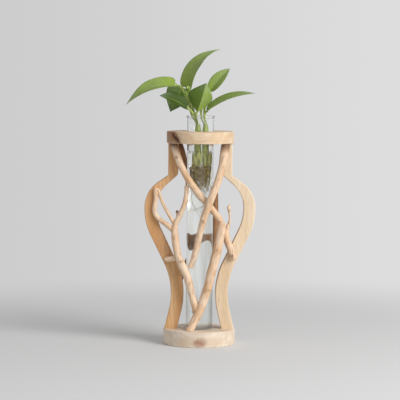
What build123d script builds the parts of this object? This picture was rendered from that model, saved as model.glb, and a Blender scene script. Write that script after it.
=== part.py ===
"""Propagation vase: a glass tube in a wooden vase-outline frame dressed with peeled branches.

Millimetres. +Z is up, the front faces -Y, and the origin is the centre of the base's underside.
"""

import os
from math import cos, pi, radians, sin, tan

from build123d import *

# Glass tube
TUBE_DIAMETER = 25.0
TUBE_LENGTH = 202.0
TUBE_WALL = 1.2
TUBE_FLOOR = 2.0
TUBE_FOOT_ROUND = 2.0
LIP_OVERHANG = 0.9
LIP_HEIGHT = 1.8

# Base and ring
BASE_DIAMETER = 67.4
BASE_THICKNESS = 14.4
RING_DIAMETER = 63.2
RING_THICKNESS = 11.1
TUBE_STAND = 14.7
DISC_EDGE_ROUND = 0.8
SOCKET_DEPTH = 1.5
TUBE_CLEARANCE = 0.35

# Ribs
RIB_THICKNESS = 14.0
RIB_EDGE_ROUND = 0.9
NECK_SETBACK = 1.6
NECK_WIDTH = 9.4
BELLY_HALF_WIDTH = 52.0
BELLY_RIB_WIDTH = 11.0
FOOT_SETBACK = 1.1
FOOT_RIB_WIDTH = 11.8
WAIST_TUCK = 1.3
NECK_CORNER_SHARES = (0.826, 0.832)
SHOULDER_CORNER_SHARES = (0.738, 0.727)
HIP_CORNER_SHARES = (0.572, 0.590)
WAIST_CORNER_SHARE = 0.234
CORNER_ROUND_SHARES = (0.06, 0.54, 0.44, 0.57)

# Dowels
DOWEL_DIAMETER = 5.0
DOWEL_LENGTH = 18.0
DOWEL_DISC_SHARE = 0.42

# Branches: each has its own thickness, as a radius
CROSS_LEFT_RADIUS = 3.3
CROSS_RIGHT_RADIUS = 3.5
LEFT_FORK_RADIUS = 3.4
LEFT_LIMB_RADIUS = 2.6
BROKEN_STUB_RADIUS = 1.2
THIN_TWIG_RADIUS = 1.7
CURVED_TWIG_RADIUS = 2.2
SIDE_STUB_RADIUS = 2.7
RIGHT_STEM_RADIUS = 4.1
RIGHT_TWIG_RADIUS = 3.2
BACK_LEFT_RADIUS = 2.8
BACK_LIMB_RADIUS = 2.9
BACK_RIGHT_RADIUS = 3.0
SEAT_BITE = 0.6
TUBE_GAP = 0.6

# Rooted cutting
LEAF_REACH = 68.0
LEAF_RISE = 62.0
LEAF_HALF_WIDTH = 12.0
LEAF_THICKNESS = 0.8
PETIOLE_RADIUS = 1.1
STALK_LEAD = 4.0
THROAT_DEPTH = 3.0
STEM_RADIUS = 3.1
STEM_DEPTH = 48.0
STEM_TOP_DEPTH = 7.0
ROOT_RADIUS = 0.5
ROOT_LENGTH = 26.0
LONG_ROOT_LENGTH = 50.0
ROOT_SPREAD = 5.6
CROWN_LENGTH = 5.0
ROOT_START_DEPTH = 1.2

# Sizes that follow from the ones above
tube_radius = TUBE_DIAMETER / 2
tube_bottom = BASE_THICKNESS - SOCKET_DEPTH
tube_top = tube_bottom + TUBE_LENGTH
tube_bore_radius = tube_radius - TUBE_WALL
base_radius = BASE_DIAMETER / 2
ring_radius = RING_DIAMETER / 2
ring_bottom = tube_top - TUBE_STAND - RING_THICKNESS
rib_height = ring_bottom - BASE_THICKNESS
rib_face = RIB_THICKNESS / 2
neck_half_width = ring_radius - NECK_SETBACK
foot_half_width = base_radius - FOOT_SETBACK
dowel_radius = DOWEL_DIAMETER / 2
neck_dowel_x = neck_half_width - NECK_WIDTH / 2
foot_dowel_x = foot_half_width - FOOT_RIB_WIDTH / 2

LEFT, RIGHT = -1, 1
FRONT, BACK = -1, 1


def disc_edges(part):
    """The outer rims of a flat disc's two faces."""
    return part.edges().filter_by(GeomType.CIRCLE).group_by(SortBy.RADIUS)[-1]


def dowel_places(height):
    """The two dowel centres at one end of the ribs."""
    x = neck_dowel_x if height > BASE_THICKNESS else foot_dowel_x
    return [(LEFT * x, 0), (RIGHT * x, 0)]


def dowel_start(height):
    """The lower end of a dowel whose joint lies at this height."""
    in_disc = DOWEL_LENGTH * DOWEL_DISC_SHARE
    return height - in_disc if height == BASE_THICKNESS else height - DOWEL_LENGTH + in_disc


# Base disc, with the tube's socket and the dowel holes
with BuildPart() as base_disc:
    with BuildSketch():
        Circle(base_radius)
    extrude(amount=BASE_THICKNESS)
    fillet(disc_edges(base_disc.part), DISC_EDGE_ROUND)
    with BuildSketch(Plane.XY.offset(tube_bottom)):
        Circle(tube_radius + TUBE_CLEARANCE)
    extrude(amount=SOCKET_DEPTH, mode=Mode.SUBTRACT)
    with BuildSketch(Plane.XY.offset(dowel_start(BASE_THICKNESS))):
        with Locations(*dowel_places(BASE_THICKNESS)):
            Circle(dowel_radius)
    extrude(amount=DOWEL_LENGTH, mode=Mode.SUBTRACT)

# Top ring, bored for the tube
with BuildPart() as top_ring:
    with BuildSketch(Plane.XY.offset(ring_bottom)):
        Circle(ring_radius)
    extrude(amount=RING_THICKNESS)
    fillet(disc_edges(top_ring.part), DISC_EDGE_ROUND)
    with BuildSketch(Plane.XY.offset(ring_bottom)):
        Circle(tube_radius + TUBE_CLEARANCE)
    extrude(amount=RING_THICKNESS, mode=Mode.SUBTRACT)
    with BuildSketch(Plane.XY.offset(dowel_start(ring_bottom))):
        with Locations(*dowel_places(ring_bottom)):
            Circle(dowel_radius)
    extrude(amount=DOWEL_LENGTH, mode=Mode.SUBTRACT)


def rib_outline(edge):
    """One edge of a rib, ring to base: the outer edge for 0, the inner edge for 1."""
    neck_x = neck_half_width - edge * NECK_WIDTH
    belly_x = BELLY_HALF_WIDTH - edge * BELLY_RIB_WIDTH
    foot_x = foot_half_width - edge * FOOT_RIB_WIDTH
    waist_x = tube_radius - WAIST_TUCK + (1 - edge) * FOOT_RIB_WIDTH
    return [
        (neck_x, ring_bottom),
        (neck_x, BASE_THICKNESS + rib_height * NECK_CORNER_SHARES[edge]),
        (belly_x, BASE_THICKNESS + rib_height * SHOULDER_CORNER_SHARES[edge]),
        (belly_x, BASE_THICKNESS + rib_height * HIP_CORNER_SHARES[edge]),
        (waist_x, BASE_THICKNESS + rib_height * WAIST_CORNER_SHARE),
        (foot_x, BASE_THICKNESS),
    ]


def corner_radii(points):
    """Radii that round each corner over a share of the shorter line beside it."""
    radii = []
    for before, corner, after, round_share in zip(
        points, points[1:], points[2:], CORNER_ROUND_SHARES
    ):
        line_in = Vector(*corner) - Vector(*before)
        line_out = Vector(*after) - Vector(*corner)
        turn = radians(line_in.get_angle(line_out))
        reach = round_share * min(line_in.length, line_out.length)
        radii.append(reach / tan(turn / 2))
    return radii


def rib(side):
    """A flat rib cut to the vase outline, with its long edges eased."""
    outer = [(side * x, z) for x, z in rib_outline(0)]
    inner = [(side * x, z) for x, z in rib_outline(1)]
    with BuildPart() as plank:
        with BuildSketch(Plane.XZ.offset(-rib_face)):
            with BuildLine():
                FilletPolyline(*outer, radius=corner_radii(outer))
                FilletPolyline(*inner, radius=corner_radii(inner))
                Line(outer[0], inner[0])
                Line(outer[-1], inner[-1])
            make_face()
        extrude(amount=RIB_THICKNESS)
        long_edges = [
            edge
            for face in plank.faces().filter_by(Axis.Y)
            for edge in face.edges()
            if edge.position_at(0).Z != edge.position_at(1).Z
        ]
        fillet(long_edges, RIB_EDGE_ROUND)
        for height in (BASE_THICKNESS, ring_bottom):
            with BuildSketch(Plane.XY.offset(dowel_start(height))):
                with Locations(*dowel_places(height)):
                    Circle(dowel_radius)
            extrude(amount=DOWEL_LENGTH, mode=Mode.SUBTRACT)
    return plank


left_rib = rib(LEFT)
right_rib = rib(RIGHT)

# Dowels that pin the ribs to the base and the ring
with BuildPart() as rib_dowels:
    for height in (BASE_THICKNESS, ring_bottom):
        with BuildSketch(Plane.XY.offset(dowel_start(height))):
            with Locations(*dowel_places(height)):
                Circle(dowel_radius)
        extrude(amount=DOWEL_LENGTH)

# Glass tube, turned from one half outline
with BuildPart() as glass_tube:
    with BuildSketch(Plane.XZ):
        with BuildLine():
            Polyline(
                (0, tube_bottom),
                (tube_radius, tube_bottom),
                (tube_radius, tube_top - LIP_HEIGHT),
                (tube_radius + LIP_OVERHANG, tube_top - LIP_HEIGHT / 2),
                (tube_radius, tube_top),
                (tube_bore_radius, tube_top),
                (tube_bore_radius, tube_bottom + TUBE_FLOOR),
                (0, tube_bottom + TUBE_FLOOR),
                close=True,
            )
        make_face()
    revolve(axis=Axis.Z)
    foot_rim = glass_tube.edges().filter_by(GeomType.CIRCLE).group_by(Axis.Z)[0]
    fillet(foot_rim, TUBE_FOOT_ROUND)


def stations(centres, end_direction=None):
    """A plane across the path at each centre, on a steady side axis."""
    planes = []
    for place, centre in enumerate(centres):
        before = centres[max(place - 1, 0)]
        after = centres[min(place + 1, len(centres) - 1)]
        along = (after - before).normalized()
        if end_direction is not None and place == len(centres) - 1:
            along = end_direction
        planes.append(Plane(centre, x_dir=Vector(0, 1, 0).cross(along), z_dir=along))
    return planes


def rod(centres, radii, end_direction=None):
    """A round limb lofted through circles along a path."""
    with BuildPart() as limb:
        for plane, radius in zip(stations(centres, end_direction), radii):
            with BuildSketch(plane):
                Circle(radius)
        loft()
    return limb.part


def branch(shares, radius, side):
    """A branch in front of or behind the frame.

    Each row gives, as shares: the place across the belly, the height up the ribs, the depth from
    the rib's face (0) to clear of the tube (1), and the thickness.
    """
    centres = []
    radii = []
    for across_share, height_share, depth_share, radius_share in shares:
        here = radius * radius_share
        on_rib = rib_face + here - SEAT_BITE
        off_tube = tube_radius + TUBE_GAP + here
        depth = on_rib + depth_share * (off_tube - on_rib)
        height = BASE_THICKNESS + height_share * rib_height
        centres.append(Vector(BELLY_HALF_WIDTH * across_share, side * depth, height))
        radii.append(here)
    return rod(centres, radii)


CROSS_LEFT_SHARES = [
    (-0.489, 1.007, 0.05, 1.05),
    (-0.392, 0.914, 0.35, 1.0),
    (-0.274, 0.84, 0.8, 1.0),
    (-0.083, 0.755, 1.0, 1.0),
    (0.107, 0.688, 1.0, 0.97),
    (0.252, 0.637, 1.0, 0.95),
    (0.389, 0.581, 1.0, 0.9),
]
CROSS_RIGHT_SHARES = [
    (0.462, 1.008, 0.3, 1.05),
    (0.397, 0.888, 0.9, 1.02),
    (0.309, 0.794, 1.5, 1.0),
    (0.178, 0.694, 1.95, 1.0),
    (0.066, 0.597, 1.75, 0.92),
    (-0.02, 0.489, 1.35, 0.9),
    (-0.089, 0.402, 1.05, 0.82),
    (-0.168, 0.335, 0.9, 0.72),
]
LEFT_FORK_SHARES = [
    (-0.068, 0.093, 1.05, 0.85),
    (-0.11, 0.165, 1.0, 0.95),
    (-0.18, 0.247, 1.0, 1.05),
    (-0.264, 0.317, 0.95, 1.15),
    (-0.344, 0.367, 0.8, 1.05),
    (-0.404, 0.422, 0.65, 1.0),
    (-0.437, 0.486, 0.55, 1.02),
    (-0.451, 0.55, 0.5, 1.0),
]
LEFT_LIMB_SHARES = [
    (-0.451, 0.539, 0.5, 1.1),
    (-0.389, 0.598, 0.55, 1.0),
    (-0.304, 0.652, 0.65, 0.9),
    (-0.255, 0.706, 0.8, 0.85),
    (-0.24, 0.776, 0.92, 0.75),
]
BROKEN_STUB_SHARES = [
    (-0.406, 0.582, 0.55, 1.1),
    (-0.412, 0.64, 0.5, 0.8),
]
THIN_TWIG_SHARES = [
    (-0.454, 0.558, 0.55, 1.05),
    (-0.564, 0.622, 0.38, 1.0),
    (-0.654, 0.669, 0.22, 0.95),
    (-0.714, 0.712, 0.08, 0.92),
    (-0.762, 0.755, 0.0, 0.9),
]
CURVED_TWIG_SHARES = [
    (-0.462, 0.531, 0.5, 1.1),
    (-0.607, 0.566, 0.38, 1.05),
    (-0.729, 0.592, 0.2, 1.0),
    (-0.81, 0.629, 0.02, 1.0),
    (-0.806, 0.677, 0.0, 0.98),
    (-0.797, 0.72, 0.0, 0.95),
    (-0.787, 0.76, 0.0, 0.85),
]
SIDE_STUB_SHARES = [
    (-0.385, 0.393, 0.7, 0.9),
    (-0.493, 0.382, 0.3, 1.0),
    (-0.623, 0.376, 0.0, 0.9),
]
RIGHT_STEM_SHARES = [
    (-0.198, -0.018, 1.75, 0.92),
    (-0.063, 0.063, 1.35, 0.95),
    (0.054, 0.142, 1.1, 1.0),
    (0.149, 0.232, 1.0, 1.0),
    (0.23, 0.328, 1.0, 1.05),
    (0.304, 0.414, 1.0, 1.05),
    (0.361, 0.493, 0.95, 1.02),
    (0.408, 0.581, 0.9, 0.92),
]
RIGHT_TWIG_SHARES = [
    (0.55, 0.675, 0.4, 0.22),
    (0.538, 0.619, 0.32, 0.34),
    (0.516, 0.565, 0.24, 0.48),
    (0.477, 0.517, 0.24, 0.9),
    (0.516, 0.463, 0.06, 1.03),
    (0.572, 0.42, 0.0, 1.0),
    (0.618, 0.379, 0.0, 0.8),
]
BACK_RIGHT_SHARES = [
    (0.272, 0.74, 0.8, 0.85),
    (0.28, 0.66, 0.75, 1.0),
    (0.28, 0.56, 0.75, 1.0),
    (0.264, 0.44, 0.85, 1.02),
    (0.213, 0.3, 1.0, 1.05),
    (0.176, 0.144, 1.05, 1.05),
    (0.166, -0.009, 1.1, 1.0),
]
BACK_LEFT_SHARES = [
    (-0.393, 1.002, 0.3, 1.05),
    (-0.29, 0.907, 0.5, 1.0),
    (-0.222, 0.8, 0.85, 1.0),
    (-0.178, 0.68, 1.05, 1.0),
    (-0.162, 0.56, 1.1, 0.95),
    (-0.152, 0.43, 1.1, 0.9),
]
BACK_LIMB_SHARES = [
    (0.032, 0.508, 1.15, 1.0),
    (-0.03, 0.468, 1.15, 1.02),
    (-0.115, 0.413, 1.1, 1.02),
    (-0.205, 0.358, 0.9, 1.02),
    (-0.3, 0.3, 0.45, 1.0),
    (-0.375, 0.235, 0.05, 1.0),
    (-0.42, 0.17, 0.0, 0.9),
]


def seated(limbs, seats):
    """Limbs grown together, cut to lie face to face on what they are glued to."""
    with BuildPart() as piece:
        for limb in limbs:
            add(limb)
        for seat in seats:
            add(seat.part, mode=Mode.SUBTRACT)
    return piece


frame = [base_disc, top_ring, left_rib, right_rib]

# Front branches, the ones glued first being the ones that the others are cut to
right_stem_branch = seated([branch(RIGHT_STEM_SHARES, RIGHT_STEM_RADIUS, FRONT)], frame)
cross_left_branch = seated(
    [branch(CROSS_LEFT_SHARES, CROSS_LEFT_RADIUS, FRONT)], frame + [right_stem_branch]
)
left_fork_branch = seated(
    [
        branch(LEFT_FORK_SHARES, LEFT_FORK_RADIUS, FRONT),
        branch(LEFT_LIMB_SHARES, LEFT_LIMB_RADIUS, FRONT),
        branch(BROKEN_STUB_SHARES, BROKEN_STUB_RADIUS, FRONT),
    ],
    frame + [right_stem_branch, cross_left_branch],
)
cross_right_branch = seated(
    [branch(CROSS_RIGHT_SHARES, CROSS_RIGHT_RADIUS, FRONT)],
    frame + [cross_left_branch, left_fork_branch],
)

# Front twigs
left_curved_twig = seated(
    [branch(CURVED_TWIG_SHARES, CURVED_TWIG_RADIUS, FRONT)], frame + [left_fork_branch]
)
left_thin_twig = seated(
    [branch(THIN_TWIG_SHARES, THIN_TWIG_RADIUS, FRONT)],
    frame + [left_fork_branch, left_curved_twig],
)
left_side_stub = seated(
    [branch(SIDE_STUB_SHARES, SIDE_STUB_RADIUS, FRONT)], frame + [left_fork_branch]
)
right_twig = seated(
    [branch(RIGHT_TWIG_SHARES, RIGHT_TWIG_RADIUS, FRONT)], frame + [right_stem_branch]
)

# Back branches
back_right_branch = seated([branch(BACK_RIGHT_SHARES, BACK_RIGHT_RADIUS, BACK)], frame)
back_left_branch = seated(
    [
        branch(BACK_LEFT_SHARES, BACK_LEFT_RADIUS, BACK),
        branch(BACK_LIMB_SHARES, BACK_LIMB_RADIUS, BACK),
    ],
    frame,
)

# Leaves: base and tip (across, toward the front, up), as shares of the reach and rise from the
# tube's mouth; the way the upper face looks; the arch, the half width and the cup as shares
LEAVES = {
    "leaf_top": ((-0.15, 0.0, 0.455), (0.265, -0.14, 1.0), (-0.8, -0.5, 0.5), 0.34, 1.1, 0.22),
    "leaf_left": ((-0.38, 0.05, 0.46), (-1.02, 0.14, 0.16), (-0.2, -0.5, 0.8), 0.28, 0.85, 0.22),
    "leaf_left_back": ((-0.27, -0.2, 0.4), (-0.42, -0.06, 0.05), (-0.1, -0.95, 0.1), 0.08, 1.0, 0.22),
    "leaf_left_low": ((-0.19, 0.14, 0.12), (-0.56, 0.26, 0.3), (-0.1, -0.6, 0.8), 0.12, 0.8, 0.22),
    "leaf_centre": ((-0.045, 0.125, 0.06), (0.075, 0.17, 0.49), (0.25, -0.94, 0.15), 0.2, 0.98, -0.6),
    "leaf_right_up": ((0.14, -0.16, 0.37), (0.4, -0.24, 0.71), (-0.4, -0.75, 0.35), 0.1, 0.62, 0.22),
    "leaf_right": ((0.1, 0.0, 0.07), (0.74, 0.12, 0.34), (-0.3, -0.3, 0.9), 0.17, 0.8, 0.22),
    "leaf_bud": ((0.006, -0.1, 0.09), (0.005, -0.12, 0.2), (0.2, -0.95, 0.1), 0.05, 0.23, 0.22),
}
BLADE_STATION_SHARES = (0.0, 0.07, 0.2, 0.36, 0.54, 0.72, 0.88, 1.0)
BLADE_WIDTH_SHARES = (0.0, 0.58, 0.94, 1.0, 0.85, 0.58, 0.26, 0.05)


def crown_point(share):
    """A point of the foliage, from its shares."""
    across, forward, up = share
    return Vector(LEAF_REACH * across, FRONT * LEAF_REACH * forward, tube_top + LEAF_RISE * up)


def midrib(base, tip, lift, share):
    """Place and direction on a leaf's arched midrib."""
    bend = (base + tip) * 0.5 + lift
    rest = 1 - share
    place = base * rest**2 + bend * (2 * rest * share) + tip * share**2
    along = (bend - base) * rest + (tip - bend) * share
    return place, along.normalized()


def leaf_lift(base, tip, face, arch_share):
    """The way and the height that a midrib arches."""
    chord = tip - base
    level = chord.normalized()
    lift = (face - level * face.dot(level)).normalized()
    return lift * (chord.length * arch_share)


def leaf(row):
    """A thin cupped blade lofted along its midrib."""
    base, tip = crown_point(row[0]), crown_point(row[1])
    face = Vector(*row[2])
    lift = leaf_lift(base, tip, face, row[3])
    with BuildPart() as blade:
        for station_share, width_share in zip(BLADE_STATION_SHARES, BLADE_WIDTH_SHARES):
            place, along = midrib(base, tip, lift, station_share)
            half = PETIOLE_RADIUS / 2 + LEAF_HALF_WIDTH * row[4] * width_share
            cup = half * row[5]
            with BuildSketch(Plane(place, x_dir=face.cross(along), z_dir=along)):
                with BuildLine():
                    ThreePointArc((-half, cup), (0, 0), (half, cup))
                    Line((half, cup), (half, cup - LEAF_THICKNESS))
                    ThreePointArc(
                        (half, cup - LEAF_THICKNESS),
                        (0, -LEAF_THICKNESS),
                        (-half, cup - LEAF_THICKNESS),
                    )
                    Line((-half, cup - LEAF_THICKNESS), (-half, cup))
                make_face()
        loft()
    return blade


leaves = {name: leaf(row) for name, row in LEAVES.items()}

# Stems and leaf stalks, grown together
stem_top = tube_top - STEM_TOP_DEPTH
stem_bottom = tube_top - STEM_DEPTH
STEM_PLACE_SHARES = [(-0.22, 0.1), (0.42, -0.06)]
stem_places = [
    Vector(tube_bore_radius * across, FRONT * tube_bore_radius * forward, 0)
    for across, forward in STEM_PLACE_SHARES
]
STALK_START_SHARE = 0.35
THROAT_SHARE = 0.62


def stem_of(row):
    """The stem that a leaf grows from: 0 on the left, 1 on the right."""
    return 0 if crown_point(row[0]).X < 0 else 1


def stalk(row):
    """A leaf stalk, from its stem up through the tube's mouth to the leaf."""
    base, tip = crown_point(row[0]), crown_point(row[1])
    lift = leaf_lift(base, tip, Vector(*row[2]), row[3])
    end_direction = midrib(base, tip, lift, 0)[1]
    stem = stem_places[stem_of(row)]
    lead = base - end_direction * STALK_LEAD
    outward = Vector(lead.X, lead.Y, 0)
    throat = outward.normalized() * min(outward.length, tube_bore_radius * THROAT_SHARE)
    start = stem + outward.normalized() * (STEM_RADIUS * STALK_START_SHARE)
    path = [
        start + Vector(0, 0, stem_top - STEM_RADIUS),
        throat + Vector(0, 0, tube_top - THROAT_DEPTH),
        lead,
        base,
    ]
    return rod(path, [PETIOLE_RADIUS] * len(path), end_direction)


def cutting_stem(number):
    """One stem with the stalks that grow from it."""
    place = stem_places[number]
    stalks = [stalk(row) for row in LEAVES.values() if stem_of(row) == number]
    with BuildPart() as stem:
        with BuildSketch(Plane.XY.offset(stem_bottom)):
            with Locations((place.X, place.Y)):
                Circle(STEM_RADIUS)
        extrude(amount=stem_top - stem_bottom)
        for leaf_stalk in stalks:
            add(leaf_stalk)
    return stem


left_cutting_stem = cutting_stem(0)
right_cutting_stem = cutting_stem(1)

# Roots: a tapered crown under each stem and strands that swing down from it
ROOTS_PER_STEM = 5
ROOT_TURN = radians(70)
ROOT_STATION_SHARES = (0.0, 0.3, 0.65, 1.0)
ROOT_SPREAD_SHARES = (0.2, 0.75, 1.0, 0.55)


def root(stem, number):
    """One strand under a stem; every fifth one is a long one."""
    long_one = number % ROOTS_PER_STEM == 0
    length = LONG_ROOT_LENGTH if long_one else ROOT_LENGTH
    start_angle = 2 * pi * number / ROOTS_PER_STEM
    centres = []
    for share, spread_share in zip(ROOT_STATION_SHARES, ROOT_SPREAD_SHARES):
        angle = start_angle + ROOT_TURN * share
        spread = ROOT_SPREAD * spread_share
        drop = ROOT_START_DEPTH + length * share
        swing = Vector(spread * cos(angle), spread * sin(angle), stem_bottom - drop)
        centres.append(stem + swing)
    return rod(centres, [ROOT_RADIUS] * len(centres))


root_strands = [root(stem, number) for stem in stem_places for number in range(ROOTS_PER_STEM)]
with BuildPart() as cutting_roots:
    for place in stem_places:
        with Locations(place + Vector(0, 0, stem_bottom)):
            Cone(
                ROOT_RADIUS,
                STEM_RADIUS,
                CROWN_LENGTH,
                align=(Align.CENTER, Align.CENTER, Align.MAX),
            )
    for strand in root_strands:
        add(strand)

pieces = {
    "base_disc": base_disc,
    "top_ring": top_ring,
    "left_rib": left_rib,
    "right_rib": right_rib,
    "rib_dowels": rib_dowels,
    "glass_tube": glass_tube,
    "right_stem_branch": right_stem_branch,
    "cross_left_branch": cross_left_branch,
    "left_fork_branch": left_fork_branch,
    "cross_right_branch": cross_right_branch,
    "left_curved_twig": left_curved_twig,
    "left_thin_twig": left_thin_twig,
    "left_side_stub": left_side_stub,
    "right_twig": right_twig,
    "back_right_branch": back_right_branch,
    "back_left_branch": back_left_branch,
    "left_cutting_stem": left_cutting_stem,
    "right_cutting_stem": right_cutting_stem,
    "cutting_roots": cutting_roots,
    **leaves,
}

os.makedirs("parts", exist_ok=True)
for name, piece in pieces.items():
    piece.part.label = name
    export_step(piece.part, f"parts/{name}.step")
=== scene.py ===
"""Looks of the propagation vase: a glass tube with a rooted cutting in a wooden stick frame."""

import math
import random
from collections import namedtuple

import bmesh
import bpy
from mathutils import Matrix, Vector, noise


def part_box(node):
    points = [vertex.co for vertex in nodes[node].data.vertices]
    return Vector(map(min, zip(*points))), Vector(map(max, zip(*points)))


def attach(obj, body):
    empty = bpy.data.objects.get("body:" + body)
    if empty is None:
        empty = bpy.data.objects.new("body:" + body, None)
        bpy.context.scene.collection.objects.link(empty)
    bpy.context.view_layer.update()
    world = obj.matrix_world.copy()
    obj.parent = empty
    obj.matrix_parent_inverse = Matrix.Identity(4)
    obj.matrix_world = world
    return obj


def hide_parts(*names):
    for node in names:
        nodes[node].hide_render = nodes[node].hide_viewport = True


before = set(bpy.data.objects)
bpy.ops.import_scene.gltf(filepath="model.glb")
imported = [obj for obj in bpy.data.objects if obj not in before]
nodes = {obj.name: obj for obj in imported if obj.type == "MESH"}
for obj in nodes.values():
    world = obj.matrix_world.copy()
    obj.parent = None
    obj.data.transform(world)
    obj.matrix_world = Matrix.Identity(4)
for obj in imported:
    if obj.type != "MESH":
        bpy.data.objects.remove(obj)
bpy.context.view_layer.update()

MM = 0.001

# The vase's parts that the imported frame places
tube_low, tube_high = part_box("glass_tube")
base_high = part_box("base_disc")[1]
ring_low, ring_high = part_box("top_ring")

# Each branch and how knobbly it is
BRANCHES = {
    "right_stem_branch": 1.0,
    "cross_left_branch": 0.9,
    "left_fork_branch": 0.9,
    "cross_right_branch": 1.0,
    "left_curved_twig": 0.5,
    "left_thin_twig": 0.35,
    "left_side_stub": 0.5,
    "right_twig": 0.35,
    "back_right_branch": 0.9,
    "back_left_branch": 0.9,
}
STEMS = ("left_cutting_stem", "right_cutting_stem")


# Shader nodes written as Python

class Field:
    """A shader socket that takes part in sums: each operator adds a Math node."""

    def __init__(self, owner, socket):
        self.owner = owner
        self.socket = socket

    def math(self, operation, *values):
        return self.owner.add("ShaderNodeMath", {"operation": operation}, dict(enumerate(values)))

    def __add__(self, other):
        return self.math("ADD", self, other)

    def __sub__(self, other):
        return self.math("SUBTRACT", self, other)

    def __rsub__(self, other):
        return self.math("SUBTRACT", other, self)

    def __mul__(self, other):
        return self.math("MULTIPLY", self, other)

    def __abs__(self):
        return self.math("ABSOLUTE", self)

    __radd__ = __add__

    def sine(self):
        return self.math("SINE", self)

    def fraction(self):
        return self.math("FRACT", self)

    def larger(self, other):
        return self.math("MAXIMUM", self, other)


class Nodes:
    """The nodes of one material or world."""

    def __init__(self, tree):
        self.tree = tree
        tree.nodes.clear()

    def add(self, kind, settings=None, inputs=None, out=0):
        """A node with its settings and then its inputs; gives back one of its outputs."""
        made = self.tree.nodes.new(kind)
        for key, value in (settings or {}).items():
            setattr(made, key, value)
        for key, value in (inputs or {}).items():
            if isinstance(value, Field):
                self.tree.links.new(value.socket, made.inputs[key])
            else:
                made.inputs[key].default_value = value
        return Field(self, made.outputs[out]) if made.outputs else made

    def place(self):
        """The point on the piece, in millimetres."""
        spot = self.add("ShaderNodeTexCoord", out="Object")
        return self.add("ShaderNodeVectorMath", {"operation": "SCALE"}, {0: spot, "Scale": 1 / MM})

    def stretch(self, vector, shares):
        return self.add("ShaderNodeVectorMath", {"operation": "MULTIPLY"}, {0: vector, 1: shares})

    def shift(self, vector, other):
        return self.add("ShaderNodeVectorMath", {"operation": "ADD"}, {0: vector, 1: other})

    def part(self, vector, axis):
        return self.add("ShaderNodeSeparateXYZ", {}, {0: vector}, out=axis)

    def distance(self, vector, point):
        ends = {0: vector, 1: point}
        return self.add("ShaderNodeVectorMath", {"operation": "DISTANCE"}, ends, out="Value")

    def lens(self, vector, spot, turn, reaches):
        """Distance from a spot in shares of the reaches of a lens that is turned in the front plane."""
        offset = self.shift(vector, tuple(-value for value in spot))
        settings = {"rotation_type": "Y_AXIS"}
        level = self.add("ShaderNodeVectorRotate", settings, {0: offset, "Angle": math.radians(turn)})
        return self.distance(self.stretch(level, tuple(1 / reach for reach in reaches)), (0, 0, 0))

    def noise(self, vector, scale, detail=3.0, out=0):
        values = {"Vector": vector, "Scale": scale, "Detail": detail}
        return self.add("ShaderNodeTexNoise", {}, values, out)

    def step(self, value, low, high):
        """0 below low and 1 above high, smoothly between."""
        values = {"Value": value, "From Min": low, "From Max": high}
        return self.add("ShaderNodeMapRange", {"interpolation_type": "SMOOTHSTEP"}, values)

    def mix(self, factor, first, second):
        """A colour between two others."""
        return self.add("ShaderNodeMix", {"data_type": "RGBA"}, {0: factor, 6: first, 7: second}, out=2)

    def mark(self, name):
        """A value painted on the mesh."""
        return self.add("ShaderNodeAttribute", {"attribute_name": name}, out="Fac")

    def surface(self, sockets, height=None, depth=0.0):
        """The finish itself, with fine relief of the given depth in metres."""
        if height is not None:
            relief = {"Height": height, "Distance": depth}
            sockets = {**sockets, "Normal": self.add("ShaderNodeBump", {}, relief)}
        shader = self.add("ShaderNodeBsdfPrincipled", {}, sockets)
        self.add("ShaderNodeOutputMaterial", {}, {"Surface": shader})


def new_finish(name):
    """An empty material and its nodes."""
    material = bpy.data.materials.new(name)
    material.use_nodes = True
    return material, Nodes(material.node_tree)


def paint(red, green, blue):
    """A colour as a screen shows it, 0 to 255, made linear for the shader."""
    shares = [value / 255 for value in (red, green, blue)]
    linear = [s / 12.92 if s < 0.04045 else ((s + 0.055) / 1.055) ** 2.4 for s in shares]
    return (*linear, 1.0)


# Wood

ALONG_X = (0.05, 1.0, 1.0)
ALONG_Z = (1.0, 1.0, 0.05)
WOOD_ROUGHNESS = 0.52
WOOD_RELIEF = 0.06 * MM
# How fine each pattern in the wood is, per millimetre
BEND_GRAIN = 0.035
RAG_GRAIN = 0.3
GROWTH_LINES = 1.9
FIBRE_GRAIN = 1.7
PORE_GRAIN = 3.4
PATCH_GRAIN = 0.11
# How far the bends and ragged edges wander, in millimetres, and half of both together
BEND_WIDTH = 9.0
RAG_WIDTH = 4.0
BEND_HALF = (BEND_WIDTH + RAG_WIDTH) / 2


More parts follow.
